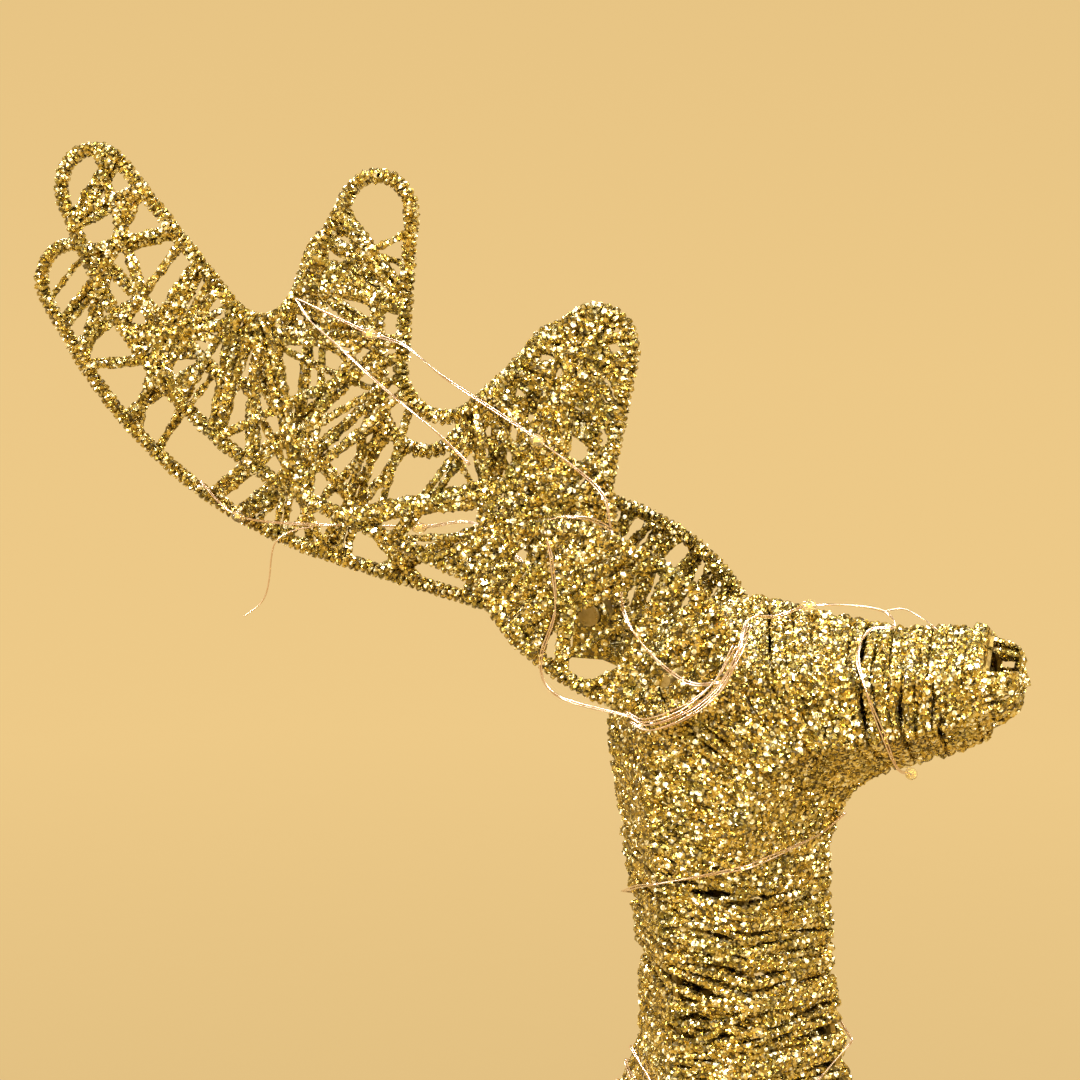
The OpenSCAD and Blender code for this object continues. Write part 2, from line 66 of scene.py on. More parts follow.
def add_camera():
    data = bpy.data.cameras.new("camera")
    data.lens, data.sensor_width = 84.7, 36
    data.clip_start, data.clip_end = 0.02, 50
    camera = bpy.data.objects.new("camera", data)
    aim(camera, target=(0.066, 0, 0.524), azimuth=19.5, elevation=10, distance=0.610)
    bpy.context.scene.collection.objects.link(camera)
    bpy.context.scene.camera = camera


add_camera()


# ---------------------------------------------------------------- node helpers

class Nodes:
    """Short way to write a material's node tree."""

    def __init__(self, name):
        self.material = bpy.data.materials.new(name)
        self.material.use_nodes = True
        self.tree = self.material.node_tree
        self.tree.nodes.clear()
        self.output = self.node("ShaderNodeOutputMaterial")
        self.shader = self.node("ShaderNodeBsdfPrincipled")
        self.link(self.shader.outputs[0], self.output.inputs["Surface"])
        self.place = self.node("ShaderNodeTexCoord").outputs["Object"]

    def node(self, kind, **settings):
        made = self.tree.nodes.new(kind)
        for key, value in settings.items():
            setattr(made, key, value)
        return made

    def link(self, out, into):
        self.tree.links.new(out, into)

    def set(self, **values):
        for key, value in values.items():
            self.shader.inputs[key.replace("_", " ")].default_value = value

    def feed(self, name, out):
        self.link(out, self.shader.inputs[name])

    def noise(self, scale, detail=4.0, roughness=0.55, vector=None):
        made = self.node("ShaderNodeTexNoise")
        made.inputs["Scale"].default_value = scale
        made.inputs["Detail"].default_value = detail
        made.inputs["Roughness"].default_value = roughness
        self.link(vector or self.place, made.inputs["Vector"])
        return made

    def voronoi(self, scale, feature="F1"):
        made = self.node("ShaderNodeTexVoronoi", feature=feature)
        made.inputs["Scale"].default_value = scale
        self.link(self.place, made.inputs["Vector"])
        return made

    def ramp(self, out, stops):
        made = self.node("ShaderNodeValToRGB")
        elements = made.color_ramp.elements
        while len(elements) < len(stops):
            elements.new(0.5)
        for element, (position, colour) in zip(elements, stops):
            element.position = position
            element.color = (*colour, 1) if len(colour) == 3 else colour
        self.link(out, made.inputs["Fac"])
        return made.outputs["Color"]

    def grey_ramp(self, out, stops):
        return self.ramp(out, [(position, (level, level, level)) for position, level in stops])

    def mix(self, fac, a, b, blend="MIX"):
        made = self.node("ShaderNodeMix", data_type="RGBA", blend_type=blend)
        for socket, value in ((made.inputs[0], fac), (made.inputs[6], a), (made.inputs[7], b)):
            if isinstance(value, bpy.types.NodeSocket):
                self.link(value, socket)
            else:
                socket.default_value = value
        return made.outputs[2]

    def maths(self, operation, a, b):
        made = self.node("ShaderNodeMath", operation=operation)
        for socket, value in zip(made.inputs, (a, b)):
            if isinstance(value, bpy.types.NodeSocket):
                self.link(value, socket)
            else:
                socket.default_value = value
        return made.outputs[0]

    def vector(self, operation, a, b=None, scale=None):
        made = self.node("ShaderNodeVectorMath", operation=operation)
        for socket, value in zip(made.inputs, (a, b)):
            if isinstance(value, bpy.types.NodeSocket):
                self.link(value, socket)
            elif value is not None:
                socket.default_value = value
        if scale is not None:
            made.inputs["Scale"].default_value = scale
        return made.outputs[0]

    def bump(self, height, strength, distance):
        made = self.node("ShaderNodeBump")
        made.inputs["Strength"].default_value = strength
        made.inputs["Distance"].default_value = distance
        self.link(height, made.inputs["Height"])
        self.feed("Normal", made.outputs["Normal"])


# ---------------------------------------------------------------- materials

FLAKE = 0.00072
LARGE_FLAKE = 2.1 * FLAKE
FLAKE_TILT = 1.1
FLAKE_EDGE = 0.60
GLUE = (0.07, 0.045, 0.010, 1)
# Pale colour of the larger flakes, a painted glint, and the roughness that goes with it.
PAINTED_GLINT_COLOUR = (1.0, 0.94, 0.66, 1)
PAINTED_GLINT_ROUGHNESS = (0.42, 0.42, 0.42, 1)


def glitter_material(name, shades):
    """Flat flakes on a dark core, each with its own tilt and tone, with larger pale flakes among them that
    are painted glints.
    """
    n = Nodes(name)
    cells = n.voronoi(1 / FLAKE)
    split = n.node("ShaderNodeSeparateColor")
    n.link(cells.outputs["Color"], split.inputs[0])
    shade = n.ramp(split.outputs[0], shades)
    patches = n.noise(150, 3)
    tints = [(0.3, (0.66, 0.72, 0.76)), (0.5, (0.92, 0.90, 0.84)), (0.7, (1.0, 0.95, 0.84))]
    drift = n.ramp(patches.outputs["Fac"], tints)
    tinted = n.mix(1.0, shade, drift, "MULTIPLY")
    glue = n.grey_ramp(cells.outputs["Distance"], [(FLAKE_EDGE, 0.0), (FLAKE_EDGE + 0.1, 1.0)])
    plain = n.mix(glue, tinted, GLUE)
    # Painted glints: about a fifth of the larger cells get a round pale spot.
    large = n.voronoi(1 / LARGE_FLAKE)
    chance = n.node("ShaderNodeSeparateColor")
    n.link(large.outputs["Color"], chance.inputs[0])
    picked = n.grey_ramp(chance.outputs[2], [(0.77, 0.0), (0.79, 1.0)])
    inside = n.grey_ramp(large.outputs["Distance"], [(0.40, 1.0), (0.46, 0.0)])
    painted_glint = n.maths("MULTIPLY", picked, inside)
    n.feed("Base Color", n.mix(painted_glint, plain, PAINTED_GLINT_COLOUR))
    flat = n.grey_ramp(split.outputs[1], [(0.0, 0.12), (0.7, 0.24), (1.0, 0.45)])
    n.feed("Roughness", n.mix(painted_glint, flat, PAINTED_GLINT_ROUGHNESS))
    n.feed("Metallic", n.grey_ramp(glue, [(0.0, 1.0), (1.0, 0.25)]))
    centred = n.vector("SUBTRACT", cells.outputs["Color"], (0.5, 0.5, 0.5))
    leaning = n.vector("SCALE", centred, scale=FLAKE_TILT)
    surface = n.node("ShaderNodeNewGeometry").outputs["Normal"]
    n.feed("Normal", n.vector("NORMALIZE", n.vector("ADD", surface, leaning)))
    return n.material


GOLD = [
    (0.0, (0.13, 0.098, 0.024)), (0.2, (0.36, 0.270, 0.056)), (0.5, (0.69, 0.525, 0.12)),
    (0.76, (0.94, 0.755, 0.26)), (1.0, (1.0, 0.93, 0.62)),
]
# A darker copy of the gold, as painted shade, for the far ear and the antler brackets.
SHADED_GOLD = [
    (0.0, (0.10, 0.072, 0.017)), (0.4, (0.33, 0.245, 0.05)), (0.8, (0.70, 0.53, 0.13)),
    (1.0, (1.0, 0.89, 0.52)),
]


def painted_wire_material():
    n = Nodes("gold_painted_wire")
    runs = n.noise(420, 5)
    tones = [(0.35, (0.16, 0.10, 0.022)), (0.65, (0.40, 0.28, 0.07))]
    n.feed("Base Color", n.ramp(runs.outputs["Fac"], tones))
    n.feed("Roughness", n.grey_ramp(runs.outputs["Fac"], [(0.3, 0.32), (0.7, 0.58)]))
    n.set(Metallic=0.8)
    n.bump(n.noise(1800, 3).outputs["Fac"], 0.35, 0.0001)
    return n.material


def plated_material(name, dark, light):
    """Plated sheet or pin steel: fine grain, cloudy passivation and small scuffs."""
    n = Nodes(name)
    stretch = n.node("ShaderNodeMapping")
    stretch.inputs["Scale"].default_value = (1, 9, 1)
    n.link(n.place, stretch.inputs["Vector"])
    grain = n.noise(900, 4, vector=stretch.outputs[0])
    clouds = n.noise(140, 3)
    tone = n.ramp(clouds.outputs["Fac"], [(0.3, dark), (0.7, light)])
    n.feed("Base Color", n.mix(0.35, tone, n.ramp(grain.outputs["Fac"], [(0.35, dark), (0.65, light)])))
    n.feed("Roughness", n.grey_ramp(grain.outputs["Fac"], [(0.3, 0.24), (0.7, 0.46)]))
    n.set(Metallic=1.0)
    n.bump(grain.outputs["Fac"], 0.25, 0.00006)
    return n.material


def copper_material():
    n = Nodes("coated_copper_wire")
    tone = n.noise(260, 3)
    tones = [(0.3, (0.80, 0.58, 0.45)), (0.7, (0.92, 0.78, 0.68))]
    n.feed("Base Color", n.ramp(tone.outputs["Fac"], tones))
    n.feed("Roughness", n.grey_ramp(tone.outputs["Fac"], [(0.3, 0.16), (0.7, 0.32)]))
    n.set(Metallic=1.0, Coat_Weight=0.6, Coat_Roughness=0.08)
    n.bump(n.noise(2600, 2).outputs["Fac"], 0.2, 0.00003)
    return n.material


def resin_material():
    n = Nodes("clear_resin_drop")
    haze = n.noise(1500, 3)
    tones = [(0.3, (1.0, 0.86, 0.50)), (0.7, (1.0, 0.93, 0.68))]
    n.feed("Base Color", n.ramp(haze.outputs["Fac"], tones))
    n.feed("Roughness", n.grey_ramp(haze.outputs["Fac"], [(0.3, 0.03), (0.7, 0.12)]))
    n.set(IOR=1.48, Transmission_Weight=0.9)
    n.bump(n.noise(700, 2).outputs["Fac"], 0.12, 0.0002)
    return n.material


def chip_material():
    n = Nodes("phosphor_chip")
    tone = n.noise(2500, 3)
    tones = [(0.35, (0.85, 0.62, 0.10)), (0.65, (0.98, 0.80, 0.22))]
    n.feed("Base Color", n.ramp(tone.outputs["Fac"], tones))
    n.feed("Roughness", n.grey_ramp(tone.outputs["Fac"], [(0.3, 0.4), (0.7, 0.6)]))
    n.set(Emission_Color=(1, 0.72, 0.3, 1), Emission_Strength=0.25)
    return n.material


def moulded_material(name, colour, grain=2600, rough=0.5, depth=0.00008):
    """Moulded plastic or rubber with a fine spark-eroded texture and faint handling marks."""
    n = Nodes(name)
    fine = n.noise(grain, 4)
    marks = n.noise(60, 5, 0.7)
    light = tuple(min(1.0, c * 1.35 + 0.012) for c in colour)
    n.feed("Base Color", n.ramp(marks.outputs["Fac"], [(0.35, colour), (0.7, light)]))
    n.feed("Roughness", n.grey_ramp(marks.outputs["Fac"], [(0.3, rough), (0.7, min(rough + 0.2, 0.95))]))
    n.set(Specular_IOR_Level=0.45)
    n.bump(fine.outputs["Fac"], 0.5, depth)
    return n.material


def sleeve_material():
    n = Nodes("cell_sleeve")
    bands = n.node("ShaderNodeTexWave", wave_type="BANDS", bands_direction="X")
    bands.inputs["Scale"].default_value = 6.0
    bands.inputs["Distortion"].default_value = 0.0
    n.link(n.place, bands.inputs["Vector"])
    sharp = n.grey_ramp(bands.outputs["Fac"], [(0.78, 0.0), (0.8, 1.0)])
    n.feed("Base Color", n.mix(sharp, (0.05, 0.12, 0.07, 1), (0.62, 0.46, 0.16, 1)))
    wrinkles = n.noise(500, 3)
    n.feed("Roughness", n.grey_ramp(wrinkles.outputs["Fac"], [(0.3, 0.18), (0.7, 0.34)]))
    n.bump(wrinkles.outputs["Fac"], 0.2, 0.0001)
    return n.material


def board_material():
    n = Nodes("control_board")
    tracks = n.voronoi(420, "DISTANCE_TO_EDGE")
    line = n.grey_ramp(tracks.outputs["Distance"], [(0.04, 1.0), (0.07, 0.0)])
    n.feed("Base Color", n.mix(line, (0.012, 0.10, 0.035, 1), (0.04, 0.22, 0.09, 1)))
    n.feed("Roughness", n.grey_ramp(n.noise(900).outputs["Fac"], [(0.3, 0.25), (0.7, 0.45)]))
    n.bump(line, 0.4, 0.00005)
    return n.material


def backdrop_material():
    """Warm paper. Near the figure it takes the lamps' light; farther out it glows evenly instead."""
    n = Nodes("warm_paper")
    out = n.node("ShaderNodeVectorMath", operation="LENGTH")
    n.link(n.place, out.inputs[0])
    reach = n.maths("MULTIPLY", out.outputs["Value"], 0.25)
    far = n.grey_ramp(reach, [(0.11, 0.0), (0.21, 1.0)])
    fibre = n.noise(30, 6)
    n.feed("Base Color", n.mix(far, (0.15, 0.11, 0.046, 1), (0.04, 0.029, 0.012, 1)))
    n.feed("Roughness", n.grey_ramp(fibre.outputs["Fac"], [(0.3, 0.82), (0.7, 0.92)]))
    glow = [(0.11, 0.43), (0.22, 0.66), (0.45, 0.785), (0.62, 0.79), (0.8, 0.74)]
    n.feed("Emission Strength", n.grey_ramp(reach, glow))
    n.set(Emission_Color=(1.0, 0.695, 0.292, 1), Specular_IOR_Level=0.1)
    return n.material


# ---------------------------------------------------------------- mesh helpers

def link_piece(name, data, material):
    """Puts a mesh or curve in the scene as one piece of one material."""
    data.materials.append(material)
    piece = bpy.data.objects.new(name, data)
    bpy.context.scene.collection.objects.link(piece)
    return piece


def mesh_of(made, name, smooth):
    """The mesh of a finished bmesh."""
    mesh = bpy.data.meshes.new(name)
    made.to_mesh(mesh)
    made.free()
    if smooth:
        mesh.polygons.foreach_set("use_smooth", [True] * len(mesh.polygons))
    return mesh


def spline(points, step):
    """Smooth curve through given points, at even steps; all in mm."""
    p = np.asarray(points, float)
    p = np.vstack([2 * p[0] - p[1], p, 2 * p[-1] - p[-2]])
    fine = []
    for a, b, c, d in zip(p[:-3], p[1:-2], p[2:-1], p[3:]):
        t = np.linspace(0, 1, 12, endpoint=False)[:, None]
        fine.append(0.5 * (2 * b + (c - a) * t + (2 * a - 5 * b + 4 * c - d) * t ** 2
                           + (3 * b - a - 3 * c + d) * t ** 3))
    return resample(np.vstack(fine + [p[-2:-1]]), step)


def resample(points, step, closed=False):
    p = np.asarray(points, float)
    if closed:
        p = np.vstack([p, p[:1]])
    reach = np.concatenate([[0], np.cumsum(np.linalg.norm(np.diff(p, axis=0), axis=1))])
    at = np.linspace(0, reach[-1], max(int(round(reach[-1] / step)), 2) + 1)
    out = np.stack([np.interp(at, reach, p[:, k]) for k in range(3)], 1)
    return out[:-1] if closed else out


def unit(v):
    return v / np.maximum(np.linalg.norm(v, axis=-1, keepdims=True), 1e-9)


def tangents(p, closed):
    if closed:
        return unit(np.roll(p, -1, 0) - np.roll(p, 1, 0))
    return unit(np.gradient(p, axis=0))


THREAD_SIDES, CRUST, THREAD_STEP = 5, 0.5, 0.62
WIRE_SIDES, PLAIN = 6, 0.0


class Tubes:
    """Gathers many small tubes, in mm, and makes one mesh of closed solids from them."""

    def __init__(self, name):
        self.name, self.corners, self.faces, self.count = name, [], [], 0

    def add(self, path, radius, side, sides=THREAD_SIDES, crust=CRUST, closed=False):
        """One tube along path; crust roughens it as glitter does; side never lies along the path."""
        p = np.asarray(path, float)
        n = len(p)
        along = tangents(p, closed)
        u = unit(np.cross(np.broadcast_to(side, p.shape), along))
        v = np.cross(along, u)
        turn = 2 * math.pi * (np.arange(sides)[None] + 0.5 * (np.arange(n)[:, None] % 2)) / sides
        size = np.broadcast_to(np.asarray(radius, float).reshape(-1, 1), (n, 1))
        size = size * (1 + crust * (rng.random((n, sides)) - 0.4))
        around = np.cos(turn)[..., None] * u[:, None] + np.sin(turn)[..., None] * v[:, None]
        ring = p[:, None] + size[..., None] * around
        if crust:
            ring = ring + along[:, None] * (rng.random((n, sides, 1)) - 0.5) * crust * size[..., None]
        self.corners.append(ring.reshape(-1, 3))
        i = np.arange(n if closed else n - 1)[:, None]
        k = np.arange(sides)[None]
        a, b = i * sides + k, i * sides + (k + 1) % sides
        c, d = (i + 1) % n * sides + k, (i + 1) % n * sides + (k + 1) % sides
        even = np.broadcast_to(i % 2 == 0, a.shape)
        first = np.where(even[..., None], np.stack([a, b, c], -1), np.stack([a, d, c], -1))
        second = np.where(even[..., None], np.stack([b, d, c], -1), np.stack([a, b, d], -1))
        faces = [first.reshape(-1, 3), second.reshape(-1, 3)]
        if not closed:
            fan = np.arange(1, sides - 1)
            end = (n - 1) * sides
            faces.append(np.stack([np.zeros_like(fan), fan + 1, fan], -1))
            faces.append(np.stack([np.zeros_like(fan) + end, fan + end, fan + 1 + end], -1))
        self.faces.append(np.vstack(faces) + self.count)
        self.count += n * sides

    def build(self, material, body, replaced=(), smooth=False):
        corners = np.vstack(self.corners) * MM
        faces = np.vstack(self.faces)
        mesh = bpy.data.meshes.new(self.name)
        mesh.vertices.add(len(corners))
        mesh.vertices.foreach_set("co", corners.astype(np.float32).ravel())
        mesh.loops.add(faces.size)
        mesh.loops.foreach_set("vertex_index", faces.astype(np.int32).ravel())
        mesh.polygons.add(len(faces))
        mesh.polygons.foreach_set("loop_start", np.arange(0, faces.size, 3, dtype=np.int32))
        mesh.polygons.foreach_set("use_smooth", np.full(len(faces), smooth))
        mesh.update(calc_edges=True)
        piece = link_piece(self.name, mesh, material)
        if body:
            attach(piece, body)
        if replaced:
            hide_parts(*replaced)
        return piece


# ---------------------------------------------------------------- wound forms

# A level is its front (x, z), its back (x, z), its half width and the share of it that the corners cut off.
OVAL, HEXED = 0.14, 0.29
HATCH = ((-43, -25.5, 255), (49.5, 25.5, 290))
RUMP = ((-132.6, 330.5), (-132.4, 333), 1.2, OVAL)
BODY = [
    ((-132, 322), (-130, 341), 9, OVAL), ((-126, 296), (-121, 354), 27, OVAL),
    ((-104, 272), (-100, 362), 37, OVAL), ((-68, 267), (-68, 363), 42, OVAL),
    ((-18, 270.5), (-18, 361), 42, OVAL), ((38, 270), (34, 361), 42, OVAL),
    ((88, 267), (66, 366), 41, OVAL), ((122, 277), (78, 376), 38, 0.18),
    ((142, 306), (85, 386), 33, 0.22), ((150, 340), (88, 393), 28.5, 0.25),
    ((149.5, 368), (89.5, 397), 25.5, 0.28), ((146, 392), (91, 401), 24, HEXED),
]
NECK = [
    ((146, 392.2), (91, 401.2), 24, HEXED), ((143.5, 408), (91.5, 411), 22.5, HEXED),
    ((140.5, 424), (90.5, 427), 22, HEXED), ((138.5, 456), (85, 465), 22.5, HEXED),
]
HEAD = [
    ((138.5, 456.2), (85, 465.2), 22.5, HEXED), ((140, 460), (83, 478), 23, HEXED),
    ((141, 463), (84, 492), 23, HEXED), ((142, 465.5), (91, 504.5), 22.5, HEXED),
    ((143, 467.5), (104, 511), 22, HEXED), ((144.5, 469.5), (120, 514.5), 21, HEXED),
    ((148, 472.5), (137, 511.5), 18.5, HEXED), ((157, 476), (152, 509.5), 15.5, HEXED),
    ((167, 479.5), (164, 510.3), 13, HEXED), ((176, 484.5), (174.5, 511.3), 11, HEXED),
    ((180.3, 489.5), (179.8, 507.5), 8, HEXED), ((182.5, 494.5), (182.3, 502.5), 4, 0.2),
]
THROAT = ((139.3, 446), (87.3, 455), 22.9, HEXED)
HIP_Z = 251
LEG_W = 5.5
FRONT_LEG = [
    ((7, HIP_Z + 7), (-7, HIP_Z + 7), LEG_W, HEXED),
    ((12.5, HIP_Z - 8), (-10.5, HIP_Z - 8), LEG_W, HEXED), ((12, 205), (-9, 205), LEG_W, HEXED),
    ((9, 150), (-6, 150), LEG_W, HEXED), ((10, 128), (-5, 128), LEG_W, HEXED),
    ((10, 60), (-1, 60), LEG_W - 0.5, HEXED), ((13, 30), (0, 30), LEG_W, HEXED),
    ((14, 10.2), (-1, 10.2), LEG_W, HEXED),
]
REAR_LEG = [
    ((6.5, HIP_Z + 7), (-12, HIP_Z + 3), LEG_W, HEXED),
    ((10.5, HIP_Z - 8), (-26, HIP_Z - 10), LEG_W, HEXED), ((9, 205), (-26, 205), LEG_W, HEXED),
    ((-3, 155), (-22, 155), LEG_W, HEXED), ((-8, 132), (-24, 132), LEG_W, HEXED),
    ((-3, 60), (-15, 60), LEG_W - 0.5, HEXED), ((2, 30), (-12, 30), LEG_W, HEXED),
    ((3, 10.2), (-13, 10.2), LEG_W, HEXED),
]


def corners(level, depth=0.0):
    """The eight corners of a wound form's level, drawn in by depth towards its middle."""
    (fx, fz), (bx, bz), width, share = level
    keep = 1 if share > 0.28 else 0.66 + share
    right = [(share, -keep), (0.5, -1), (1 - share, -keep)]
    spots = [(0, 0), *right, (1, 0), (1 - share, keep), (0.5, 1), (share, keep)]
    ring = np.array([[fx + (bx - fx) * t, s * width, fz + (bz - fz) * t] for t, s in spots])
    middle = ring.mean(0)
    out = ring - middle
    reach = np.linalg.norm(out, axis=1, keepdims=True)
    return middle + out * np.maximum(1 - depth / reach, 0.12)


def level_rings(levels, depth, move=(0, 0, 0)):
    return np.array([corners(level, depth) for level in levels]) + np.array(move, float)


class Form:
    """Places on a wound form: how far along it, in mm, and which of its eight corners."""

    def __init__(self, rings):
        self.rings = rings
        middles = self.rings.mean(1)
        step = np.linalg.norm(np.diff(self.rings, axis=0), axis=2).max(1)
        self.reach = np.concatenate([[0], np.cumsum(step)])
        self.length = self.reach[-1]
        self.axis = unit(np.gradient(middles, axis=0))

    def at(self, distance, corner):
        s = np.interp(distance, self.reach, np.arange(len(self.reach)))
        i = np.clip(np.floor(s).astype(int), 0, len(self.reach) - 2)
        t = (s - i)[:, None]
        place = self.rings[i, corner] * (1 - t) + self.rings[i + 1, corner] * t
        return place, unit(self.axis[i] * (1 - t) + self.axis[i + 1] * t)


def slow_noise(count, every, size):
    """A smooth random run of numbers with a knot every so many places."""
    knots = np.arange(0, count + 2 * every, every)
    return np.interp(np.arange(count), knots, rng.normal(0, size, len(knots)))


RAILS = 8
THICKNESS_KNOT = 9


def wind(tubes, form, pitch, radius, wander, step, way, slope, span=(0.0, 1.0), hatch=None):
    """Winds one thread round a form, straight from rail to rail; the slope of its turns comes and goes."""
    start, end = span[0] * form.length, span[1] * form.length
    turns = max(int((end - start) / pitch), 1)
    spots = np.arange(turns * RAILS + 1)
    turn = 2 * math.pi * spots / RAILS
    tipped = slow_noise(len(spots), 9, slope) * np.cos(turn) + slow_noise(len(spots), 7, slope) * np.sin(turn)
    drift = slow_noise(len(spots), 3, wander) + rng.normal(0, wander * 0.4, len(spots))
    far = np.clip(start + pitch * spots / RAILS + drift + tipped, start, end)
    path, axis = form.at(far, (way * spots) % RAILS)
    fine = resample(path, step)
    reach = np.concatenate([[0], np.cumsum(np.linalg.norm(np.diff(path, axis=0), axis=1))])
    at = np.linspace(0, reach[-1], len(fine))
    side = unit(np.stack([np.interp(at, reach, axis[:, k]) for k in range(3)], 1))
    knots = np.arange(0, reach[-1] + THICKNESS_KNOT, THICKNESS_KNOT)
    size = radius * (1 + 0.16 * np.interp(at, knots, rng.normal(0, 1, len(knots))))
    size = np.clip(size, radius * 0.7, radius * 1.35)
    if hatch is None:
        tubes.add(fine, size, side)
        return
    low, high = np.array(hatch)
    outside = np.any((fine < low) | (fine > high), axis=1)
    ends = np.flatnonzero(np.diff(outside.astype(int))) + 1
    for run in np.split(np.arange(len(fine)), ends):
        if outside[run[0]] and len(run) > 3:
            tubes.add(fine[run], size[run], side[run])


RIM_STEP = 1.5


def run_angle(a, b):
    """The angle at which a belt leaves circle a for circle b."""
    dx, dz = b[0] - a[0], b[1] - a[1]
    return math.atan2(dz, dx) - math.acos((a[2] - b[2]) / math.hypot(dx, dz))


def belt(circles):
    """Outline of a belt laid round circles; a hollow bend has a negative radius."""
    points = []
    for i, here in enumerate(circles):
        start = run_angle(circles[i - 1], here)
        end = run_angle(here, circles[(i + 1) % len(circles)])
        sweep = (end - start) % (2 * math.pi)
        if here[2] < 0:
            sweep -= 2 * math.pi
        count = max(int(abs(sweep * here[2]) / RIM_STEP), 3)
        turn = start + sweep * np.linspace(0, 1, count + 1)
        points += [(here[0] + here[2] * math.cos(a), 0, here[1] + here[2] * math.sin(a)) for a in turn]
    return resample(points, RIM_STEP, closed=True)


def ellipse(a, b, count=90):
    """Outline of an ellipse in the plane of x and z, with half axes a and b."""
    turn = 2 * math.pi * np.arange(count) / count
    return resample(np.stack([a * np.cos(turn), 0 * turn, b * np.sin(turn)], 1), RIM_STEP, closed=True)


ANTLER_BASE = (84, 510)
# The antler's outline: circles round which a belt is laid, each x, z and radius.
ANTLER = [
    (55, 637.5, 114.5), (*ANTLER_BASE, 6), (100, 539, -14), (83.5, 572, 8.6), (45.5, 565, -11),
    (29, 602, 8.6), (-2, 585.5, -10), (-46, 606.5, 9.7),
]
ANTLER_Y = 10
ANTLER_OPENINGS = [(78, 545, 4), (53, 544, 4.5), (39, 537, 4), (71, 538, 3.5)]
LEFT_TILT, LEFT_BACK, LEFT_DROP = 8, 6, 5.5


def tilted(points, degrees):
    """Turns points about +Y, as OpenSCAD's rotate([0, degrees, 0]) does."""
    c, s = math.cos(math.radians(degrees)), math.sin(math.radians(degrees))
    x, y, z = points[..., 0], points[..., 1], points[..., 2]
    return np.stack([c * x + s * z, y, -s * x + c * z], -1)


def placed_antler(right):
    """A function that moves points from an antler's own plane to its place on the head."""
    base = np.array([ANTLER_BASE[0], 0, ANTLER_BASE[1]], float)
    if right:
        return lambda p: p + [0, -ANTLER_Y, 0]
    return lambda p: tilted(p - base, -LEFT_TILT) + base + [-LEFT_BACK, ANTLER_Y, -LEFT_DROP]


EAR_A, EAR_B, EAR_Y, EAR_DROOP, EAR_FLARE = 32, 17, 30, 26, 5
EAR_X, EAR_Z, LEFT_EAR_BACK, LEFT_EAR_LOW = 93.5, 512, 12, 3


def placed_ear(right):
    """The same for an ear; the left ear is mirrored."""
    def place(p):
        q = tilted(p, EAR_DROOP)
        c, s = math.cos(math.radians(EAR_FLARE)), math.sin(math.radians(EAR_FLARE))
        q = np.stack([c * q[..., 0] - s * q[..., 1], s * q[..., 0] + c * q[..., 1], q[..., 2]], -1)
        q = q + [EAR_X - (0 if right else LEFT_EAR_BACK), -EAR_Y, EAR_Z - (0 if right else LEFT_EAR_LOW)]
        return q if right else q * [1, -1, 1]
    return place


TAIL_X, TAIL_Z, TAIL_A, TAIL_B, TAIL_RISE = -158.5, 352, 24, 9, 22


def placed_tail(p):
    return tilted(p, TAIL_RISE) + [TAIL_X, 0, TAIL_Z]


RIM_CORE, RIM_THREAD, RIM_PITCH = 1.1, 0.72, 1.7
TURN_STEPS = 12


def flat_side(place):
    """Where the direction across a rim's own plane points once the rim is in its place."""
    return place(ACROSS * 1.0) - place(ACROSS * 0.0)


def wound_rim(tubes, outline, place):
    """A bent wire with thread wound round it in a close helix."""
    closed = np.vstack([outline, outline[:1]])
    length = np.linalg.norm(np.diff(closed, axis=0), axis=1).sum()
    turns = int(length / RIM_PITCH)
    centre = resample(outline, length / (turns * TURN_STEPS), closed=True)
    along = tangents(centre, True)
    across = unit(np.cross(along, ACROSS))
    angle = 2 * math.pi * np.arange(len(centre)) * turns / len(centre)
    lift = (RIM_CORE + 0.12 + 0.1 * rng.normal(0, 1, len(centre)))[:, None]
    helix = centre + lift * (np.cos(angle)[:, None] * across + np.sin(angle)[:, None] * ACROSS)
    far = place(centre + along) - place(centre)
    tubes.add(place(helix), RIM_THREAD, far, closed=True)
    wire = place(resample(outline, 2.5, closed=True))
    tubes.add(wire, RIM_CORE, flat_side(place), WIRE_SIDES, PLAIN, closed=True)


BUNDLE, BUNDLE_GAP = 3, 1.25


def cross_ray(point, direction, outline):
    """Where a ray from the rim meets the rim again, with how far that is."""
    a = outline[:, [0, 2]]
    b = np.roll(a, -1, 0)
    edge = b - a
    away = a - point
    turn = direction[0] * edge[:, 1] - direction[1] * edge[:, 0]
    turn = np.where(np.abs(turn) < 1e-9, 1e-9, turn)
    reach = (away[:, 0] * edge[:, 1] - away[:, 1] * edge[:, 0]) / turn
    share = (away[:, 0] * direction[1] - away[:, 1] * direction[0]) / turn
    good = (share >= 0) & (share < 1) & (reach > 4)
    if not good.any():
        return None, 0
    best = np.where(good, reach, np.inf).argmin()
    return point + direction * reach[best], reach[best]


def strand(tubes, ends, face, place, radius, side):
    """One thread from rim to rim, over one face of the rims, with a little slack."""
    (ax, az), (bx, bz) = ends
    length = math.hypot(bx - ax, bz - az)
    ease = rng.normal(0, 0.012 * length, 2)
    t = np.linspace(0, 1, 7)
    bow = np.sin(math.pi * t)
    x = ax + (bx - ax) * t + bow * ease[0]
    z = az + (bz - az) * t + bow * ease[1]
    y = face * (1.25 - 0.75 * bow)
    path = resample(np.stack([x, y, z], 1), THREAD_STEP)
    tubes.add(place(path), radius * (1 + 0.12 * np.sin(np.arange(len(path)) * 0.7)), side)


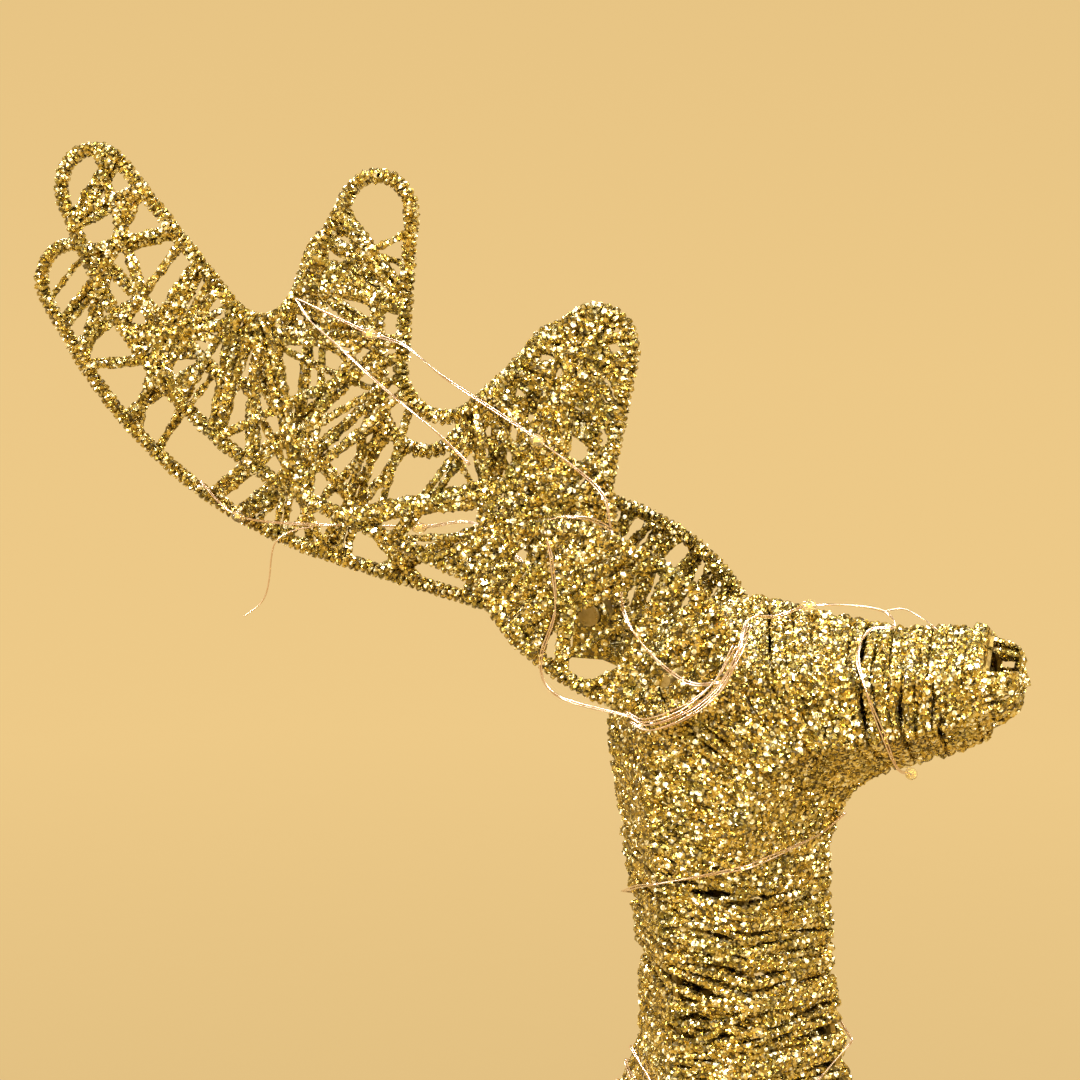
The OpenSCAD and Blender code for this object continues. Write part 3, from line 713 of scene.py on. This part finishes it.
def wound_web(tubes, outline, place, gap, lean, longest, direction=None, open_at=()):
    """Bundles of threads from rim to rim, none across the circles (x, z, r) in open_at; gap(point) is the
    mean distance between bundles there, and lean is how far, in degrees, they stray from straight across."""
    loop = np.vstack([outline, outline[:1]])[:, [0, 2]]
    area = 0.5 * np.sum(loop[:-1, 0] * loop[1:, 1] - loop[1:, 0] * loop[:-1, 1])
    step = np.diff(loop, axis=0)
    lengths = np.linalg.norm(step, axis=1)
    reach = np.concatenate([[0], np.cumsum(lengths)])
    side = flat_side(place)
    spot, face = 0.0, 1
    while spot < reach[-1]:
        i = min(np.searchsorted(reach, spot, side="right") - 1, len(lengths) - 1)
        point = loop[i] + step[i] * (spot - reach[i]) / lengths[i]
        normal = np.array([-step[i][1], step[i][0]]) / lengths[i] * (1 if area > 0 else -1)
        heading = normal
        if direction is not None:
            across = np.array(direction, float)
            heading = across * (1 if across @ normal > 0 else -1)
        angle = math.radians(rng.normal(0, lean))
        c, s = math.cos(angle), math.sin(angle)
        heading = np.array([c * heading[0] - s * heading[1], s * heading[0] + c * heading[1]])
        end, far = cross_ray(point, heading, outline)
        spot += gap(point) * rng.uniform(0.35, 1.65)
        if end is None or far > longest:
            continue
        middle = (point + end) / 2
        if any(math.hypot(middle[0] - x, middle[1] - z) < r for x, z, r in open_at):
            continue
        along = step[i] / lengths[i]
        for k in range(rng.integers(1, BUNDLE + 1)):
            near = point + along * BUNDLE_GAP * k
            other, _ = cross_ray(near, heading, outline)
            if other is None:
                continue
            pinch = other + (end - other) * rng.uniform(-0.3, 0.9)
            strand(tubes, (near, pinch), face, place, rng.uniform(0.8, 1.25), side)
            face = -face


def add_antler(right, thread):
    side = "right" if right else "left"
    body = f"antler_{side}"
    place = placed_antler(right)
    outline = belt(ANTLER)
    rim = Tubes(f"{body}_rim_thread")
    wound_rim(rim, outline, place)
    rim.build(thread, body, [f"{body}_rim"])
    web = Tubes(f"{body}_web_thread")

    def gap(point):
        """Wider apart at the tips of the lobes."""
        return 12.0 if point[0] < -22 or point[1] > 590 else 6.3

    wound_web(web, outline, place, gap, lean=20, longest=74, open_at=ANTLER_OPENINGS)
    web.build(thread, body, [f"{body}_web"])


UPRIGHT = (0.1, 1.0)
EAR_OPENINGS = [(-25, -4, 5), (-14, -9, 5)]


def add_ear(right, thread):
    side = "right" if right else "left"
    place = placed_ear(right)
    outline = ellipse(EAR_A, EAR_B)
    rim = Tubes(f"ear_{side}_rim_thread")
    wound_rim(rim, outline, place)
    rim.build(thread, "body", [f"ear_{side}_rim"])
    web = Tubes(f"ear_{side}_web_thread")
    wound_web(web, outline, place, lambda point: 4.4, lean=16, longest=40, direction=UPRIGHT,
              open_at=EAR_OPENINGS)
    web.build(thread, "body", [f"ear_{side}_web"])


def add_tail(thread):
    outline = ellipse(TAIL_A, TAIL_B)
    rim = Tubes("tail_rim_thread")
    wound_rim(rim, outline, placed_tail)
    rim.build(thread, "body", ["tail_rim"])
    web = Tubes("tail_web_thread")
    wound_web(web, outline, placed_tail, lambda point: 3.4, lean=14, longest=30, direction=UPRIGHT)
    web.build(thread, "body", ["tail_web"])


# ---------------------------------------------------------------- body, neck, head and legs

# A layer of thread is its pitch, its depth under the form's corners, its radius and the way round it goes.
BODY_LAYERS = [(2.6, 1.0, 0.95, 1), (3.3, 1.7, 0.9, -1)]
NECK_LAYERS = [(3.5, 1.1, 1.0, 1), (4.0, 1.8, 1.0, -1), (4.4, 0.65, 0.8, -1), (3.4, 2.7, 0.9, 1)]
HEAD_LAYERS = [(2.5, 1.1, 1.0, 1), (2.9, 1.8, 1.0, -1), (3.4, 0.7, 0.8, -1), (3.0, 2.6, 0.9, 1)]
LEG_LAYERS = [(1.9, 0.75, 0.72, 1), (3.6, 1.3, 0.6, -1)]
SADDLE_LAYERS = [(2.2, 0.0, 0.75, 1), (2.9, 0.5, 0.7, -1)]
HIP_X = {"front": 100, "rear": -84}
LEG_Y = {"front": 16, "rear": 32}
OVERLAP = 0.006


def add_wound(name, levels, body, thread, skin, layers, wander, step=0.72, move=(0, 0, 0),
              span=(0.0, 1.0), slope=0.0, hatch=None):
    """All the layers wound on one form; span is the share of its length that they cover."""
    tubes = Tubes(name)
    for pitch, depth, radius, way in layers:
        form = Form(level_rings(levels, depth, move))
        wind(tubes, form, pitch, radius, wander, step, way, slope, span, hatch)
    tubes.build(thread, body, [skin])


def add_body(thread):
    """Five windings in a row, open where the battery lid slides."""
    levels = [RUMP] + BODY
    parts = ("rump", "rear", "middle", "front", "chest")
    for i, part in enumerate(parts):
        span = (i / len(parts), (i + 1) / len(parts) + OVERLAP)
        add_wound(f"body_winding_{part}", levels, "body", thread, "body_skin", BODY_LAYERS, wander=1.0,
                  step=1.05, span=span, slope=2.0, hatch=HATCH)


def saddle_ring(x, y, inward):
    """One ring round a bracket's plate and posts; it is taller at the flanks, where the belly is higher."""
    low, reach = HIP_Z + 13.4, 12.7 - inward
    high = HIP_Z + 20 + 26 * (y / 40) ** 2
    waist, top = low + 1.6, high - 2
    left = [(-0.7, low), (-1, waist), (-0.9, top), (-0.5, high)]
    section = left + [(-side, z) for side, z in reversed(left)]
    return [(x + reach * side, y, z) for side, z in section]


def add_saddle(end, thread):
    """The thread wound across the belly round a leg bracket's plate and posts."""
    half = LEG_Y[end] + 7.0
    tubes = Tubes(f"{end}_saddle_winding")
    for pitch, inward, radius, way in SADDLE_LAYERS:
        rings = np.array([saddle_ring(HIP_X[end], y, inward) for y in np.linspace(-half, half, 13)])
        middles = rings.mean(1, keepdims=True)
        closed = middles + (rings - middles) * 0.12
        rings = np.concatenate([closed[:1], rings, closed[-1:]])
        wind(tubes, Form(rings), pitch, radius, wander=0.7, step=0.8, way=way, slope=1.2)
    tubes.build(thread, "body")


def add_neck(thread):
    """Loose layers that cross each other, carried on past the join into the head."""
    levels = NECK + HEAD[2:4]
    for part, span in (("lower", (0.0, 0.44)), ("upper", (0.42, 0.93))):
        add_wound(f"neck_winding_{part}", levels, "body", thread, "neck_skin", NECK_LAYERS, wander=0.8,
                  span=span, slope=3.6)


TIP_LEVEL, TIP_THREADS = 9, 58


def add_head(thread):
    """Windings from the throat to the tip's first hoop, and threads over the tip that run lengthwise."""
    levels = [THROAT] + HEAD[:TIP_LEVEL + 1]
    for part, span in (("cheek", (0.0, 0.43)), ("snout", (0.41, 1.0))):
        add_wound(f"{part}_winding", levels, "body", thread, "head_skin", HEAD_LAYERS, wander=0.7,
                  span=span, slope=1.7)
    nose = Tubes("snout_tip_thread")
    hoop = corners(HEAD[TIP_LEVEL - 1], 1.0)
    end = corners(HEAD[-1], 0.6)
    near = corners(HEAD[-2], 0.9)
    for _ in range(TIP_THREADS):
        spot = rng.uniform(0, RAILS)
        i, t = int(spot), spot % 1
        j = (i + 1) % RAILS
        a = hoop[i] * (1 - t) + hoop[j] * t
        b = near[i] * (1 - t) + near[j] * t
        c = end[i] * (1 - t) + end[j] * t
        first = a + rng.normal(0, 0.5, 3)
        last = end.mean(0) + rng.normal(0, 0.7, 3)
        path = spline([first, b, c - [1.2, 0, 0], last], THREAD_STEP)
        nose.add(path, rng.uniform(0.55, 0.85), UP + 0.3 * ACROSS)
    nose.build(thread, "body")


def add_leg(end, side, thread):
    levels = FRONT_LEG if end == "front" else REAR_LEG
    move = (HIP_X[end], LEG_Y[end] * (-1 if side == "right" else 1), 0)
    name = f"leg_{end}_{side}"
    add_wound(f"{name}_winding", levels, name, thread, f"{name}_skin", LEG_LAYERS, wander=0.5, step=0.95,
              move=move)


# ---------------------------------------------------------------- light wires and lights

# Routes in mm. The pair on an antler lies just outside its near face, and the rest lie on the thread.
HEAD_WIRE = [
    (99, -33, 491), (104, -33.5, 489.5), (113, -33.5, 493.5), (120, -33, 500), (124, -32, 508),
    (125, -27, 514), (129, -17, 513), (134, -8, 514), (143, -4, 514), (151, -4, 513), (154, -8, 510.5),
    (149, -11, 510), (147.5, -16, 505), (150.5, -19, 497), (154, -18, 488), (156.5, -13, 479),
    (158, -4, 475.5),
]
ANTLER_RIGHT_WIRE = [
    (88, -12.6, 530), (85, -12.6, 539), (70, -12.6, 550), (54, -12.6, 559.5), (45.5, -12.6, 564.5),
    (36.5, -12.6, 571), (28, -12.6, 573.5), (18, -12.6, 577.5), (8.5, -12.6, 581.5),
]
ANTLER_RIGHT_RETURN = [
    (8.5, -12.6, 581.5), (12.2, -12.9, 576.3), (19.9, -12.4, 569.8), (27.6, -12.9, 563.6),
    (35.2, -12.5, 557.5), (44.1, -12.9, 551.2), (52.9, -12.5, 543.3),
]
ANTLER_LEFT_WIRE = [
    (62, 7.4, 514), (47.5, 7.4, 525.5), (32, 7.4, 524), (13, 7.4, 523.5), (4, 7.4, 523), (-17.5, 7.4, 524),
    (-28.5, 7.4, 532.5),
]
LOOSE_END = [
    (3, 7.4, 522.4), (-1, 7.3, 521.6), (-5, 7, 520), (-7.5, 6.8, 517.5), (-8.5, 6.7, 513.5), (-9, 6.6, 509),
    (-10, 6.4, 504.5), (-12, 6.2, 501.5), (-16, 6, 498.5),
]
EAR_CROSSING = [
    (88, -12.8, 530), (84, -20, 533.5), (78.5, -31, 534), (80.5, -33.2, 526), (81.4, -33.4, 514),
    (78, -33.6, 502), (82, -33.4, 494.5), (99, -33.2, 491),
]
SECOND_CROSSING = [
    (88, -12.4, 530), (92, -18, 521), (97, -30.5, 514), (104, -33.4, 506), (113, -33.6, 500),
    (120, -33.2, 500.5),
]
SNOUT_TAIL = [(151, -4, 513.2), (155, -3, 513.8), (160, -5, 512.2), (164, -9, 510.8)]
NECK_TURNS = [
    (139.4, -10, 401.5), (144.9, 0, 407.8), (127.8, 23.3, 416), (115.5, 23.3, 424), (104, 23.3, 431.5),
    (87.2, 0, 438.5), (94.6, -11.5, 444), (101.6, -23.3, 448.7), (112, -23.9, 451.7), (125, -23.9, 455.6),
    (133, -14, 458.3), (138, -6, 460), (141.9, 0.5, 463.4),
]
BACK_RUN = [(-20, 0, 362.4), (20, 0, 362.3), (50, 0, 364.8)]
STRAND_R = 0.18
STRAND_SIDE = UP + 0.2 * ACROSS + 0.05
TWIST, ROUTE_STEP, WAVE_KNOT = 70, 1.2, 9
WIRE_PROUD, DROP_PROUD = 0.9, 2.0
DROP_R = 1.42


def wound_places(first, start, stop, proud):
    """The wound wire's places, as part.scad makes them: once round for each level."""
    levels = BODY + NECK[1:]
    points = []
    for i in range(start, stop + 1):
        level, t, k = first + i // RAILS, (i % RAILS) / RAILS, (RAILS - i % RAILS) % RAILS
        here, after = corners(levels[level], -proud), corners(levels[level + 1], -proud)
        points.append(here[k] * (1 - t) + after[k] * t)
    return points


def body_wire_points():
    rear = wound_places(0, 4, 28, WIRE_PROUD)
    front = wound_places(6, 4, 39, WIRE_PROUD)
    return rear + BACK_RUN + front + NECK_TURNS


def twin(tubes, points, spread=0.24, smooth=True):
    """Two fine wires that wander round one route."""
    route = spline(points, ROUTE_STEP) if smooth else resample(points, ROUTE_STEP)
    along = tangents(route, False)
    side = unit(np.cross(along, STRAND_SIDE))
    up = np.cross(side, along)
    turn = 2 * math.pi * np.arange(len(route)) * ROUTE_STEP / TWIST + rng.uniform(0, 6)
    knots = np.arange(0, len(route) + WAVE_KNOT, WAVE_KNOT)
    wave = np.interp(np.arange(len(route)), knots, rng.normal(0, 0.06, len(knots)))
    for sign in (-1, 1):
        offset = sign * (spread + wave)[:, None] * (np.cos(turn)[:, None] * side + np.sin(turn)[:, None] * up)
        tubes.add(route + offset, STRAND_R, STRAND_SIDE, WIRE_SIDES, PLAIN)


def add_wires(copper):
    """The light wires of each body, and the pair that crosses from the head to the right antler."""
    head = Tubes("head_wire_strands")
    twin(head, HEAD_WIRE)
    twin(head, [np.array(p) + (0.4, -0.5, -1.1) for p in HEAD_WIRE[:6]], 0.3)
    twin(head, [np.array(p) + (-0.8, -0.2, 1.0) for p in HEAD_WIRE[:5]], 0.35)
    head.add(spline(SNOUT_TAIL, ROUTE_STEP), STRAND_R, UP + 0.2 * ACROSS, WIRE_SIDES, PLAIN)
    head.build(copper, "body", ["wire_head"], smooth=True)
    antlers = {"right": (ANTLER_RIGHT_WIRE, ANTLER_RIGHT_RETURN), "left": (ANTLER_LEFT_WIRE,)}
    for side, routes in antlers.items():
        strands = Tubes(f"antler_{side}_wire_strands")
        for route in routes:
            twin(strands, route)
        strands.build(copper, f"antler_{side}", [f"wire_antler_{side}"], smooth=True)
    crossing = Tubes("ear_crossing_strands")
    twin(crossing, EAR_CROSSING)
    twin(crossing, SECOND_CROSSING)
    piece = crossing.build(copper, None, smooth=True)
    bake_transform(piece)
    body = Tubes("body_wire_strands")
    twin(body, body_wire_points(), 0.28, smooth=False)
    body.build(copper, "body", ["wire_body"], smooth=True)


def add_loose_end(copper):
    """The bare end under the left antler: one short free cord."""
    route = spline(LOOSE_END, 1.0) * MM
    curve = bpy.data.curves.new("loose_wire_end", "CURVE")
    curve.dimensions = "3D"
    curve.bevel_depth, curve.bevel_resolution, curve.use_fill_caps = 0.0002, 3, True
    line = curve.splines.new("POLY")
    line.points.add(len(route) - 1)
    for point, place in zip(line.points, route):
        point.co = (*place, 1)
    piece = link_piece("loose_wire_end", curve, copper)
    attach(piece, "antler_left")
    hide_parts("wire_loose_end")


def drop_shape(centre, along, radius):
    """A resin drop drawn out along its wires, with the rings of a hand-dipped bead."""
    around, rings = 20, 14
    along = unit(np.array(along, float))
    u = unit(np.cross(along, [0.31, 0.52, 0.79]))
    v = np.cross(along, u)
    rows = []
    for i in range(1, rings):
        t = math.pi * i / rings
        girth = radius * math.sin(t) ** 0.8 * (1 + 0.03 * math.sin(5 * t))
        turn = 2 * math.pi * np.arange(around) / around
        row = np.cos(turn)[:, None] * u + np.sin(turn)[:, None] * v
        rows.append(centre - along * math.cos(t) * radius * 1.35 + row * girth)
    return rows


def add_lights(name, spots, body, resin, chip, replaced):
    """The resin drops at the spots, as one piece, with a small light chip in each."""
    made = bmesh.new()
    for centre, along in spots:
        shape = drop_shape(np.array(centre, float), along, DROP_R)
        rows = [[made.verts.new(Vector(p * MM)) for p in row] for row in shape]
        for a, b in zip(rows, rows[1:]):
            for k in range(len(a)):
                made.faces.new((a[k], a[(k + 1) % len(a)], b[(k + 1) % len(a)], b[k]))
        made.faces.new(list(reversed(rows[0])))
        made.faces.new(rows[-1])
    bmesh.ops.recalc_face_normals(made, faces=made.faces)
    drops = link_piece(name, mesh_of(made, name, True), resin)
    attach(drops, body)
    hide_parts(replaced)
    add_chips(f"{name}_chips", spots, body, chip)


def add_chips(name, spots, body, chip):
    made = bmesh.new()
    for centre, _ in spots:
        cube = bmesh.ops.create_cube(made, size=1.0)["verts"]
        bmesh.ops.scale(made, vec=(0.0011, 0.0008, 0.0006), verts=cube)
        bmesh.ops.translate(made, vec=Vector(np.array(centre, float) * MM), verts=cube)
    bmesh.ops.bevel(made, geom=made.edges[:], offset=0.00012, segments=2, profile=0.6, affect="EDGES")
    piece = link_piece(name, mesh_of(made, name, False), chip)
    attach(piece, body)


def on_route(route, index, lift=0.0):
    """A place on a route, moved by lift towards the near side, and the direction of the route there."""
    p = np.asarray(route, float) - [0, lift, 0]
    before, after = p[max(index - 1, 0)], p[min(index + 1, len(p) - 1)]
    return p[index], after - before


ANTLER_DROP_LIFT = 0.75


def add_all_lights(resin, chip):
    spots = [on_route(HEAD_WIRE, i) for i in (16, 7)]
    add_lights("head_lights", spots, "body", resin, chip, "lights_head")
    spots = [on_route(ANTLER_RIGHT_WIRE, i, ANTLER_DROP_LIFT) for i in (6, 2)]
    add_lights("antler_right_lights", spots, "antler_right", resin, chip, "lights_antler_right")
    spots = [on_route(ANTLER_LEFT_WIRE, i, ANTLER_DROP_LIFT) for i in (2, 5)]
    add_lights("antler_left_lights", spots, "antler_left", resin, chip, "lights_antler_left")
    route = wound_places(0, 4, 28, DROP_PROUD) + wound_places(6, 4, 36, DROP_PROUD)
    spots = [on_route(route, i) for i in range(4, len(route) - 1, 6)]
    add_lights("body_lights", spots, "body", resin, chip, "lights_body")


# ---------------------------------------------------------------- finishes of the CAD nodes that stay

def dress_cad(shaded_glitter):
    """The antler brackets get the darker copy of the glitter thread, as painted shade; the other nodes that
    stay get their own finishes.
    """
    zinc = plated_material("yellow_zinc", (0.42, 0.33, 0.14), (0.72, 0.60, 0.33))
    nickel = plated_material("spring_nickel", (0.42, 0.42, 0.42), (0.72, 0.71, 0.69))
    rubber = moulded_material("foot_rubber", (0.055, 0.042, 0.020), 1800, 0.62, 0.00015)
    slider = moulded_material("switch_plastic", (0.60, 0.60, 0.57), 3000, 0.4, 0.00004)
    nylon = moulded_material("strap_nylon", (0.022, 0.022, 0.022), 2000, 0.42, 0.00006)
    rules = [
        (("antler_right_bracket", "antler_left_bracket"), shaded_glitter),
        (("_frame",), painted_wire_material()),
        (("_bracket", "_pins", "_hub", "_clip"), zinc),
        (("_foot",), rubber),
        (("battery_case", "battery_lid"), moulded_material("case_plastic", (0.018, 0.018, 0.019))),
        (("battery_cells",), sleeve_material()),
        (("cell_springs", "cell_contacts"), nickel),
        (("control_board",), board_material()),
        (("switch_slider",), slider),
        (("case_straps",), nylon),
    ]
    for name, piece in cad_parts.items():
        for endings, material in rules:
            if name.endswith(endings):
                piece.data.materials.clear()
                piece.data.materials.append(material)
                break


# ---------------------------------------------------------------- studio

def add_sweep():
    """Paper floor that rises into a wall all round, like the inside of a wide bowl."""
    floor_r, wall_r, wall_h, below, around = 1.6, 3.0, 4.2, 0.0002, 96
    profile = [(0, 0), (0.4, 0), (0.9, 0), (floor_r, 0)]
    bend = wall_r - floor_r
    bends = np.linspace(0.12, math.pi / 2, 16)
    profile += [(floor_r + bend * math.sin(t), bend - bend * math.cos(t)) for t in bends]
    profile += [(wall_r, bend + (wall_h - bend) * t) for t in (0.3, 0.6, 1.0)]
    made = bmesh.new()
    rows = []
    for r, z in profile[1:]:
        turn = 2 * math.pi * np.arange(around) / around
        rows.append([made.verts.new((r * math.cos(a), r * math.sin(a), z - below)) for a in turn])
    middle = made.verts.new((0, 0, -below))
    for k in range(around):
        made.faces.new((middle, rows[0][k], rows[0][(k + 1) % around]))
    for a, b in zip(rows, rows[1:]):
        for k in range(around):
            made.faces.new((a[k], b[k], b[(k + 1) % around], a[(k + 1) % around]))
    sweep = link_piece("paper_sweep", mesh_of(made, "paper_sweep", True), backdrop_material())


WARM_LIGHT = (1.0, 0.97, 0.91)


def add_lamp(name, azimuth, elevation, distance, size, watts):
    """A round soft lamp that the camera doesn't see."""
    data = bpy.data.lights.new(name, "AREA")
    data.shape, data.size, data.energy, data.color = "DISK", size, watts, WARM_LIGHT
    lamp = bpy.data.objects.new(name, data)
    aim(lamp, (0.05, 0, 0.45), azimuth, elevation, distance)
    lamp.visible_camera = False
    bpy.context.scene.collection.objects.link(lamp)


# Name, azimuth, elevation, distance, size and watts.
LAMPS = [
    ("key", 50, 38, 1.5, 0.36, 34),
    ("near", 5, 50, 1.5, 0.28, 20),
    ("left", -55, 28, 1.6, 0.34, 16),
    ("behind_right", 140, 40, 1.6, 0.34, 16),
    ("behind_left", 215, 45, 1.6, 0.34, 16),
    ("overhead", 0, 89, 1.7, 0.6, 12),
]


def add_studio():
    add_sweep()
    for lamp in LAMPS:
        add_lamp(*lamp)
    world = bpy.data.worlds.new("studio")
    world.use_nodes = True
    background = world.node_tree.nodes["Background"]
    background.inputs["Color"].default_value = (0.85, 0.70, 0.46, 1)
    background.inputs["Strength"].default_value = 0.16
    bpy.context.scene.world = world
    bpy.context.scene.view_settings.view_transform = "Standard"


# ---------------------------------------------------------------- all of it

def main():
    copper = copper_material()
    add_loose_end(copper)
    thread = glitter_material("gold_glitter_thread", GOLD)
    shaded = glitter_material("shaded_gold_glitter_thread", SHADED_GOLD)
    for right in (True, False):
        add_antler(right, thread)
        # The left ear, the far one, takes the darker thread as painted shade.
        add_ear(right, thread if right else shaded)
    add_tail(thread)
    add_neck(thread)
    add_head(thread)
    add_body(thread)
    for end in ("front", "rear"):
        add_saddle(end, thread)
        for side in ("right", "left"):
            add_leg(end, side, thread)
    add_wires(copper)
    add_all_lights(resin_material(), chip_material())
    dress_cad(shaded)
    add_studio()


main()
